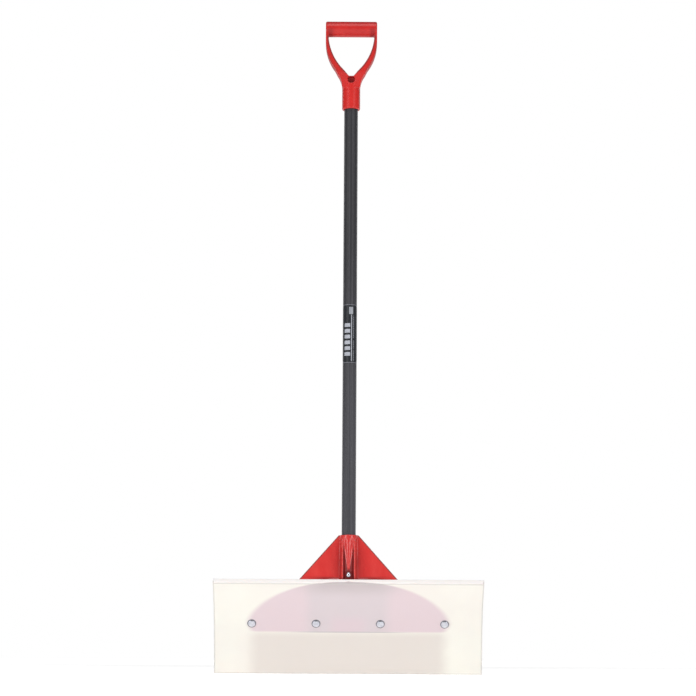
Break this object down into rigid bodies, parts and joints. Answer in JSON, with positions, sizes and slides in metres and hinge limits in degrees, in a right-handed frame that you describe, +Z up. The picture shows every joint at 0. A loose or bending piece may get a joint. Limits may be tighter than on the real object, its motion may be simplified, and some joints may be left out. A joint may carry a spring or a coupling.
{
  "type": "snow pusher",
  "caption": "Snow pusher with a curved translucent plastic blade, a moulded fan bracket, a long straight tube and a D-shaped grip.",
  "frame": {"origin": "middle of the blade's lowest edge, halfway through its thickness", "axes": "+Z up along the tube from the blade to the grip, -Y the way the blade's hollow face looks, +X along the blade"},
  "size_m": [0.61, 0.1066, 1.517],
  "materials": {
    "blade_poly": "natural milky polyethylene sheet, satin, slightly see-through",
    "red_moulding": "glossy red injection-moulded plastic",
    "grip_moulding": "semi-gloss red injection-moulded plastic",
    "tube_coating": "charcoal satin fibreglass",
    "label_film": "near-black glossy film with plain light bars",
    "bright_steel": "bright plated bolt",
    "zinc_steel": "clear zinc plating",
    "nylon_ring": "blue nylon locking ring"
  },
  "bodies": {
    "root": {"blade": "blade_poly", "blade_bracket": "red_moulding", "handle_tube": "tube_coating", "tube_label": "label_film", "d_grip": "grip_moulding", "grip_screw": "zinc_steel", "handle_bolt": "bright_steel", "handle_washer": "zinc_steel", "handle_nut": "zinc_steel", "handle_nut_insert": "nylon_ring", "blade_bolt_1": "bright_steel", "blade_bolt_2": "bright_steel", "blade_bolt_3": "bright_steel", "blade_bolt_4": "bright_steel", "blade_washer_1": "zinc_steel", "blade_washer_2": "zinc_steel", "blade_washer_3": "zinc_steel", "blade_washer_4": "zinc_steel", "blade_nut_1": "zinc_steel", "blade_nut_2": "zinc_steel", "blade_nut_3": "zinc_steel", "blade_nut_4": "zinc_steel", "nut_insert_1": "nylon_ring", "nut_insert_2": "nylon_ring", "nut_insert_3": "nylon_ring", "nut_insert_4": "nylon_ring"}
  },
  "joints": []
}
